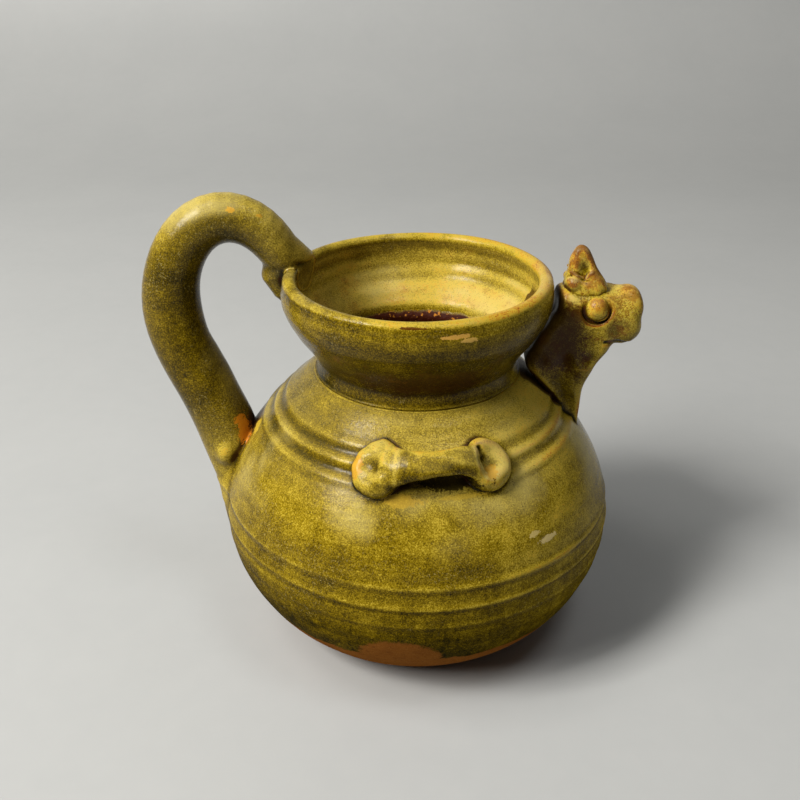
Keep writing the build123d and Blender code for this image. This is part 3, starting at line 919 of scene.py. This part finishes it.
near_handle = nearby(handle_clay, (-90, -20, 30), (-25, 25, 130))
near_bird = nearby(bird_clay, (25, -18, 60), (70, 18, 120))
near_lugs = [nearby(lambda points, azimuth=azimuth: lug_clay(on_shoulder(points, azimuth)),
                    (-25, low, 60), (32, high, 92))
             for azimuth, low, high in ((-LUG_AZIMUTH, -62, -28), (LUG_AZIMUTH, 28, 62))]
glaze_marks(thrown_belly, pot, (seam_line, near_handle, near_bird, *near_lugs), 1)
glaze_marks(thrown_mouth, pot, (seam_line, near_handle, near_bird), 2)
glaze_marks(rolled_handle, handle_clay, (pot_outside,), 3, handle_wear_and_highlight, unmarked)
glaze_marks(pinched_neck, bird_clay, (pot,))
glaze_marks(bird_head, bird_clay, (comb_field, pot))
glaze_marks(pressed_comb, comb_field, (bird_clay, pot), 3, worn, unmarked)
for name in ("eye_pellet_left", "eye_pellet_right"):
    glaze_marks(bpy.data.objects[name], bird_clay, (bird_clay,), 3, eye_wear, unmarked)
for name, field in zip(("cord_lug_front", "cord_lug_back"), near_lugs):
    glaze_marks(bpy.data.objects[name], field, (pot,), 3, lug_wear, unmarked)


# %% [markdown]
# ## Writing a material as arithmetic
# Joining nodes by hand hides what they work out. This small class wraps the output of a node, so that
# a material reads as a sum: `1 - mask` adds a Math node by itself, and every other node comes from
# one method.

# %% Sockets that can be added and multiplied
class Tone:
    """A number, colour or place on its way through a material."""

    def __init__(self, socket):
        self.socket = socket

    def maths(self, operation, first, second=None):
        return glaze_node("ShaderNodeMath", {"operation": operation}, {0: first, 1: second})

    def __add__(self, other):
        return self.maths("ADD", self, other)

    def __sub__(self, other):
        return self.maths("SUBTRACT", self, other)

    def __rsub__(self, other):
        return self.maths("SUBTRACT", other, self)

    def __mul__(self, other):
        return self.maths("MULTIPLY", self, other)

    def __truediv__(self, other):
        return self.maths("DIVIDE", self, other)

    def __pow__(self, other):
        return self.maths("POWER", self, other)

    def most(self, other):
        return self.maths("MAXIMUM", self, other)

    def least(self, other):
        return self.maths("MINIMUM", self, other)

    __radd__ = __add__
    __rmul__ = __mul__


current = {}


def glaze_node(kind, settings=None, inputs=None, output=0):
    """Any node: its settings first, then the values or links of its inputs. Gives one output as a Tone."""
    node = current["tree"].nodes.new(kind)
    for name, value in (settings or {}).items():
        if name == "stops":
            while len(node.color_ramp.elements) < len(value):
                node.color_ramp.elements.new(0.5)
            for element, (position, colour) in zip(node.color_ramp.elements, value):
                element.position, element.color = position, colour
        else:
            setattr(node, name, value)
    for name, value in (inputs or {}).items():
        if isinstance(value, Tone):
            current["tree"].links.new(value.socket, node.inputs[name])
        elif value is not None:
            node.inputs[name].default_value = value
    return node if output is None else Tone(node.outputs[output])


def start_material(name):
    """A new empty material that the next nodes go into."""
    material = bpy.data.materials.new(name)
    material.use_nodes = True
    material.node_tree.nodes.clear()
    current["tree"] = material.node_tree
    return material


def finish_material(surface):
    """Joins a shader to the material's output."""
    glaze_node("ShaderNodeOutputMaterial", None, {"Surface": surface}, output=None)


# %% [markdown]
# A few measures are used again and again: a noise whose grain is given in millimetres, a soft step
# from one value to another, and a mix of two colours.

# %% Grain, steps and mixes
def grain(place, size, detail, rough):
    """Noise from 0 to 1 with a grain of a size in millimetres."""
    return glaze_node("ShaderNodeTexNoise", {"noise_dimensions": "3D"},
                      {"Vector": place, "Scale": 1 / size, "Detail": detail, "Roughness": rough})


def step(value, low, high):
    """0 below one value, 1 above the other, smooth between them; the two may be given in falling order."""
    return glaze_node("ShaderNodeMapRange", {"interpolation_type": "SMOOTHSTEP"},
                      {"Value": value, "From Min": low, "From Max": high, "To Min": 0.0, "To Max": 1.0})


def mixed(share, first, second):
    """A colour between two others."""
    return glaze_node("ShaderNodeMix", {"data_type": "RGBA"}, {0: share, 6: first, 7: second}, output=2)


def colour(red, green, blue):
    """An opaque colour, in linear light."""
    return (red, green, blue, 1.0)


def vector_maths(operation, first, second):
    """Arithmetic on places."""
    return glaze_node("ShaderNodeVectorMath", {"operation": operation}, {0: first, 1: second})


def shifted(place, *move):
    """The same places moved, so that two noises don't follow each other."""
    return vector_maths("ADD", place, move)


def stretched(place, *scale):
    """The same places made longer or shorter, for a grain that runs one way."""
    return vector_maths("MULTIPLY", place, scale)


def millimetres():
    """Places in the whole scene, in millimetres."""
    metres = glaze_node("ShaderNodeTexCoord", output="Object")
    return glaze_node("ShaderNodeVectorMath", {"operation": "SCALE"}, {0: metres, "Scale": 1 / MM})


def xyz(place):
    """The three numbers of a place or direction."""
    split = glaze_node("ShaderNodeSeparateXYZ", None, {"Vector": place}, output=None)
    return [Tone(split.outputs[i]) for i in range(3)]


# %% [markdown]
# ## The glaze
# The glaze is an old iron green: olive where it is thick, yellow where it is thin, milky where it
# cooled slowly, and peppered with fine dark specks of iron. It stops short of the foot, where the
# bare clay is red brown. One material covers every piece, because one bucket of glaze did, and it
# reads places in the whole ewer, so that its clouds run on from piece to piece.
#
# A number called thick stands for the glaze's thickness, and a ramp turns it into colour. Its broad
# shifts from left to right and up the pot were tuned against a photograph. The shifts from left to right
# are painted light and shade, and so are the paler upper faces and the darker sheltered places.

# %% Mix the glaze
THICKNESS_COLOURS = (
    (0.00, (0.120, 0.026, 0.004)), (0.12, (0.350, 0.118, 0.006)), (0.25, (0.520, 0.300, 0.018)),
    (0.40, (0.465, 0.345, 0.034)), (0.54, (0.262, 0.180, 0.007)), (0.70, (0.128, 0.083, 0.002)),
    (0.85, (0.052, 0.034, 0.001)), (1.00, (0.014, 0.011, 0.001)))

glaze = start_material("green_glaze_on_clay")
place = millimetres()
x, y, z = xyz(place)
bend, corner, shelter, wear_and_highlight, shade_mark = (
    glaze_node("ShaderNodeAttribute", {"attribute_name": mark}, output="Fac")
    for mark in ("bend", "corner", "shelter", "worn", "smoky"))
radius = (x * x + y * y) ** 0.5
up = xyz(glaze_node("ShaderNodeNewGeometry", output="Normal"))[2]

clouds = grain(place, 16, 3, 0.55)
patches = grain(shifted(place, 31, 7, 3), 5.5, 4, 0.62)
mottle = grain(shifted(place, 3, 50, 9), 1.2, 4, 0.7)
fine = grain(shifted(place, 9, 2, 40), 0.40, 3, 0.7)
bands = grain(stretched(place, 0.10, 0.10, 1.0), 2.6, 3, 0.6)
streaks = grain(stretched(shifted(place, 5, 5, 0), 1.0, 1.0, 0.14), 2.4, 2, 0.5)

# lighter on upper faces as painted light from above, and unevenly spread: clouds, patches, mottles, bands,
# grain and runs
thick = 0.705 - up * 0.22 + (clouds - 0.5) * 0.42 + (patches - 0.5) * 0.28 + (mottle - 0.5) * 0.34
thick = thick + (bands - 0.5) * 0.26 + (fine - 0.5) * 1.05
thick = thick + step(streaks, 0.5, 0.75) * step(z, 60, 20) * 0.14
# thin on ridges, thick in grooves and corners and up the outside of the handle, darker towards the foot, and
# painted darker as shade in sheltered places
edge = (bend - 0.12).most(0.0).least(1.0) * (1 - corner)
groove = bend.least(0.0).most(-1.2) * -1.0
thick = thick - edge * 0.42 + groove * (0.22 + step(z, 60, 68) * 0.24) + corner * 0.24 + shelter * 0.10
thick = thick + step(z, 44, 6) * 0.08 + step(x, -50, -58) * step(z, 58, 82) * 0.12
# painted light and shade: the shoulder darker on the left and lighter on the right, the bowl lighter on the
# left and darker on the right, the belly lighter on the right
thick = thick + step(z, 66, 72) * (step(x, -6, -34) * 0.12 - step(x, 4, 32) * 0.16) * step(radius, 60, 54)
side = (step(x, 6, 34) - step(x, -4, -34)) * step(radius, 42, 40.5) * step(z, 96, 104) * step(z, 117, 113)
thick = thick + side * 0.13 - step(x, 12, 46) * step(z, 68, 60) * 0.13
# thin and pale where worn, and on the handle also a painted highlight
thick = thick - wear_and_highlight * (0.17 + (patches - 0.5) * 0.6)
stops = [(position, colour(*tone)) for position, tone in THICKNESS_COLOURS]
ramp = glaze_node("ShaderNodeValToRGB", {"stops": stops}, {"Fac": thick})

# %% Haze and painted sheen, crusts, painted shade, stains and specks
# milky clouds in the glaze, put only on open upward faces, so that they are partly painted sheen from the
# light above
milky_and_top_sheen = step(grain(shifted(place, 70, 20, 11), 26, 3, 0.5), 0.45, 0.68) * step(z, 46, 66)
milky_and_top_sheen = milky_and_top_sheen * step(up, 0.2, 0.6) * step(shelter, 0.5, 0.2)
# a further painted sheen on the upper faces of the shoulder, and paler where worn
pale_haze_and_sheen = milky_and_top_sheen * 0.50 + step(z, 60, 72) * step(up, 0.3, 0.7) * 0.10 + wear_and_highlight.most(0.0) * 0.08
pale_haze_and_sheen = pale_haze_and_sheen * (1 - (corner + groove * 1.5).least(1.0)) * (1 + wear_and_highlight).least(1.0)
green = mixed(pale_haze_and_sheen, ramp, colour(0.56, 0.46, 0.15))
crusty = clouds + (patches - 0.5) * 0.5 + step(x, -10, -50) * 0.12 + step(x, 20, 40) * step(z, 66, 74) * 0.2
crust = step(grain(shifted(place, 61, 12, 30), 0.75, 4, 0.75), 0.56, 0.66) * step(crusty, 0.50, 0.66)
crust = crust * step(z, 22, 34) * (1 - groove.least(1.0))
green = mixed(crust * 0.42, green, colour(0.50, 0.40, 0.13))
on_bird = step(x, 36, 40) * step(z, 84, 92)
flamed = step(patches + (mottle - 0.5) * 0.7 + (fine - 0.5) * 0.4, 0.47, 0.62) * on_bird
green = mixed(flamed * 0.62, green, colour(0.190, 0.062, 0.006))
# painted shade: dark brown under the dish, at the nape and in sheltered places, broken up by noise
painted_shade_patches = shade_mark * 0.9 + (patches - 0.5) * 0.9 + (mottle - 0.5) * 0.5 + (fine - 0.5) * 0.8
painted_shade_patches = step(painted_shade_patches.most(step(shelter, 0.45, 0.85)), 0.15, 0.85)
green = mixed(painted_shade_patches * 0.88, green, colour(0.036, 0.009, 0.002))
stained = step(patches + (fine - 0.5) * 0.6, 0.56, 0.70) * step(radius, 40.5, 37)
stained = stained * step(z, 96, 98) * step(z, 116, 113)
green = mixed(stained * 0.45, green, colour(0.150, 0.062, 0.006))
specks = step(grain(shifted(place, 17, 80, 5), 0.42, 1, 0.4), 0.66, 0.72) * step(patches, 0.35, 0.6)
green = mixed(specks * 0.75, green, colour(0.030, 0.022, 0.003))


# %% [markdown]
# Near the foot the glaze ends in an uneven line above bare clay. The throat is rough and painted near
# black as shade in the hole, with rusty brown flecks. Chips, scuffs and bare places sit at chosen spots,
# each a ragged patch round a place, and one more such patch is a painted shadow under the front strap.
# Painting them on a picture would need a flat layout of every piece, which a material that knows places
# doesn't.

# %% Bare clay, throat, scuffs and a painted shadow
crumbs = grain(shifted(place, 44, 4, 14), 1.0, 4, 0.75)
wander = grain(stretched(shifted(place, 0, 8, 0), 1, 1, 0.3), 9, 2, 0.5)
foot_line = z + (crumbs - 0.5) * 3.0 + (wander - 0.5) * 6.0


def spot(centre, radii, rag):
    """A ragged patch round a place in millimetres."""
    away = vector_maths("DIVIDE", vector_maths("SUBTRACT", place, centre), radii)
    far = glaze_node("ShaderNodeVectorMath", {"operation": "LENGTH"}, {0: away}, output="Value")
    return step(far + (crumbs - 0.5) * rag + (patches - 0.5) * rag * 0.6, 1.04, 0.9)


bare = step(foot_line, 17.5, 16.8).most(spot((-5.0, -57.0, 16.0), (13.5, 12.0, 12.5), 0.35))
clay = mixed(patches, colour(0.24, 0.088, 0.014), colour(0.140, 0.045, 0.007))
clay = mixed(step(fine, 0.5, 0.7) * 0.5, clay, colour(0.33, 0.15, 0.035))
clay = mixed(step(mottle, 0.56, 0.7) * 0.6, clay, colour(0.070, 0.024, 0.005))
# the throat is painted near black as shade in the hole, with rusty orange flecks
throat = step(radius, 27.4, 26.2) * step(z, 86.5, 88.0) * step(z + (patches - 0.5) * 2.4, 95.4, 94.2)
flecks = step(grain(shifted(place, 8, 8, 8), 1.4, 2, 0.5), 0.60, 0.66)
rust_and_throat_shade = mixed(flecks, colour(0.045, 0.008, 0.002), colour(0.42, 0.16, 0.012))
surface_colour = mixed(throat, mixed(bare, green, clay), rust_and_throat_shade)
# Place and radii in millimetres, colour and share of each scuff.
# The last one is a painted shadow under the front strap.
SCUFFS_AND_STRAP_SHADOW = (
    ((9.9, -39.4, 113.8), (4.8, 4.0, 0.6), (0.66, 0.36, 0.07), 0.8),
    ((14.2, -38.3, 112.5), (2.2, 4.0, 0.6), (0.66, 0.40, 0.09), 0.8),
    ((-0.6, -40.1, 116.5), (4.6, 3.0, 0.35), (0.070, 0.008, 0.002), 0.85),
    ((37.1, -45.9, 54.4), (3.2, 4.0, 0.9), (0.66, 0.52, 0.22), 0.85),
    ((33.6, -48.0, 57.0), (1.8, 4.0, 0.8), (0.60, 0.46, 0.16), 0.85),
    ((-3.4, -49.7, 69.4), (5.5, 5.0, 1.5), (0.50, 0.31, 0.03), 0.5),
    ((13.4, -47.8, 69.8), (6.5, 5.0, 0.6), (0.50, 0.33, 0.03), 0.5),
    ((-54.4, -5.6, 67.7), (2.6, 3.4, 5.5), (0.62, 0.22, 0.012), 0.85),
    ((-50.2, -6.0, 69.5), (1.6, 3.0, 4.5), (0.62, 0.42, 0.04), 0.75),
    ((-54.2, 0.0, 136.6), (1.3, 0.8, 0.9), (0.66, 0.34, 0.03), 0.7),
    ((-45.2, 1.6, 134.5), (1.8, 0.8, 0.9), (0.66, 0.34, 0.03), 0.7),
    ((-16.6, -44.3, 77.0), (1.8, 3.0, 4.5), (0.58, 0.27, 0.02), 0.6),
    ((19.5, -43.5, 75.5), (3.0, 3.0, 1.6), (0.56, 0.27, 0.02), 0.6),
    ((9.0, -46.6, 73.3), (9.5, 3.0, 2.0), (0.014, 0.009, 0.001), 0.9))
for centre, radii, tone, share in SCUFFS_AND_STRAP_SHADOW:
    surface_colour = mixed(spot(centre, radii, 2.2) * share, surface_colour, colour(*tone))

# %% [markdown]
# Glazed stoneware is glossy on the shoulder and duller low down and where the clay is bare. One shader
# with a changing roughness still mirrors the floor in the lower belly as a grey veil, so a matt shader
# without that mirror takes over there. The bump carries the fine unevenness that shows in highlights.

# %% Gloss, bump and the finished glaze
roughness = 0.10 + milky_and_top_sheen * 0.07 + step(fine, 0.4, 0.7) * 0.08 + step(thick, 0.35, 0.1) * 0.10
roughness = (roughness + bare * 0.4 + throat * 0.3 + step(shelter, 0.3, 0.9) * 0.25).least(0.85)
height = fine * 0.040 + mottle * 0.050 + grain(shifted(place, 1, 2, 3), 3.2, 2, 0.5) * 0.12 - specks * 0.03
height = height * (1 - bare) + bare * (fine * 0.06 + mottle * 0.08) + throat * mottle * 0.5
bump = glaze_node("ShaderNodeBump", None, {"Height": height, "Strength": 1.0, "Distance": MM})


def clay_shader(roughness, mirror):
    """The ewer's colour and bump under a surface that mirrors more or less."""
    return glaze_node("ShaderNodeBsdfPrincipled", None, {
        "Base Color": surface_colour, "Roughness": roughness, "Normal": bump,
        "IOR": 1.45, "Specular IOR Level": mirror})


gloss = clay_shader(roughness, 0.13)
matt = clay_shader(0.85, 0.0)
matt_here = step(z + (patches - 0.5) * 12.0, 64, 26).most(bare)
finish_material(glaze_node("ShaderNodeMixShader", None, {0: matt_here * 0.95, 1: gloss, 2: matt}))

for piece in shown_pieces():
    piece.data.materials.clear()
    piece.data.materials.append(glaze)
    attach(piece, "root")
print("glaze nodes", len(glaze.node_tree.nodes))


# %% [markdown]
# ## Floor
# The ewer stands on a plain pale sheet that rises far behind it. A sheet of one flat grey would do, but
# it looks like empty space, so this one has a slight grain. It is the same from edge to edge, and no
# light or shade is painted on it.

# %% Floor
def floor_mesh():
    """A pale sheet that rises behind into a backdrop."""
    rows = [(-0.9, 0.0), (0.55, 0.0), (0.62, 0.004), (0.70, 0.02), (0.78, 0.06), (0.84, 0.14), (0.86, 0.9)]
    points = [(x, y, z) for y, z in rows for x in (-1.2, 1.2)]
    faces = [(2 * i, 2 * i + 1, 2 * i + 3, 2 * i + 2) for i in range(len(rows) - 1)]
    mesh = bpy.data.meshes.new("floor")
    mesh.from_pydata(points, [], faces)
    mesh.polygons.foreach_set("use_smooth", [True] * len(faces))
    floor = bpy.data.objects.new("floor", mesh)
    bpy.context.scene.collection.objects.link(floor)
    return floor


floor = floor_mesh()
floor_paint = start_material("pale_floor")
place = millimetres()
shade = grain(place, 60, 3, 0.5) * 0.6 + grain(shifted(place, 300, 0, 0), 9, 3, 0.6) * 0.4
paint = mixed(shade, colour(0.395, 0.405, 0.400), colour(0.450, 0.458, 0.448))
finish_material(glaze_node("ShaderNodeBsdfPrincipled", None, {"Base Color": paint, "Roughness": 0.55}))
floor.data.materials.append(floor_paint)

# %% [markdown]
# ## Light
# The light is plain and soft, as in a small studio. Two wide softboxes close together at the left front
# give the main light and the shadow to the right. A weak one high on the left and a weak one high at
# the right front fill, and a pale world does the rest. The lamps are wide because a small one gives
# hard shadows.

# %% Lights
def softbox(name, azimuth, elevation, distance, size, power, tint):
    """A square area light that looks at the ewer; azimuth 0 is +X and 90 is +Y."""
    turn, rise = math.radians(azimuth), math.radians(elevation)
    away = Vector((math.cos(turn) * math.cos(rise), math.sin(turn) * math.cos(rise), math.sin(rise)))
    lamp = bpy.data.lights.new(name, "AREA")
    lamp.size, lamp.energy, lamp.color = size, power, tint
    light = bpy.data.objects.new(name, lamp)
    light.location = Vector((0, 0, 0.06)) + away * distance
    light.rotation_mode = "QUATERNION"
    light.rotation_quaternion = away.to_track_quat("Z", "Y")
    bpy.context.scene.collection.objects.link(light)


softbox("lamp", -142, 35, 1.5, 0.30, 8.0, (1.0, 0.97, 0.93))
softbox("key", -150, 46, 1.5, 0.40, 24.0, (1.0, 0.97, 0.93))
softbox("ceiling", -168, 62, 1.2, 0.40, 3.6, (1.0, 0.98, 0.95))
softbox("fill", -40, 70, 1.1, 0.30, 1.8, (0.95, 0.97, 1.0))
world = bpy.data.worlds.new("pale_room")
world.use_nodes = True
world.node_tree.nodes["Background"].inputs["Color"].default_value = (1.0, 0.93, 0.86, 1)
world.node_tree.nodes["Background"].inputs["Strength"].default_value = 0.06
bpy.context.scene.world = world
bpy.context.scene.view_settings.view_transform = "Standard"

# %% [markdown]
# ## Camera
# The camera stands above the lip and looks down on the ewer, at the angle of the photograph that the
# ewer was rebuilt from. Aiming it at a target would be simpler, but its place, direction and slight
# roll come from a fit to that photograph, so they are given as numbers.

# %% Camera
camera_data = bpy.data.cameras.new("camera")
camera_data.sensor_width = 36.0
camera_data.lens = 44.96
camera = bpy.data.objects.new("camera", camera_data)
forward = Vector((-0.01694, 0.88817, -0.45921)).normalized()
level = forward.cross(Vector((0, 0, 1))).normalized()
roll = math.radians(-0.26)
right = level * math.cos(roll) + level.cross(forward) * math.sin(roll)
above = right.cross(forward)
camera.matrix_world = Matrix((right, above, -forward)).transposed().to_4x4()
camera.location = (0.0, -0.28051, 0.21998)
bpy.context.scene.collection.objects.link(camera)
bpy.context.scene.camera = camera
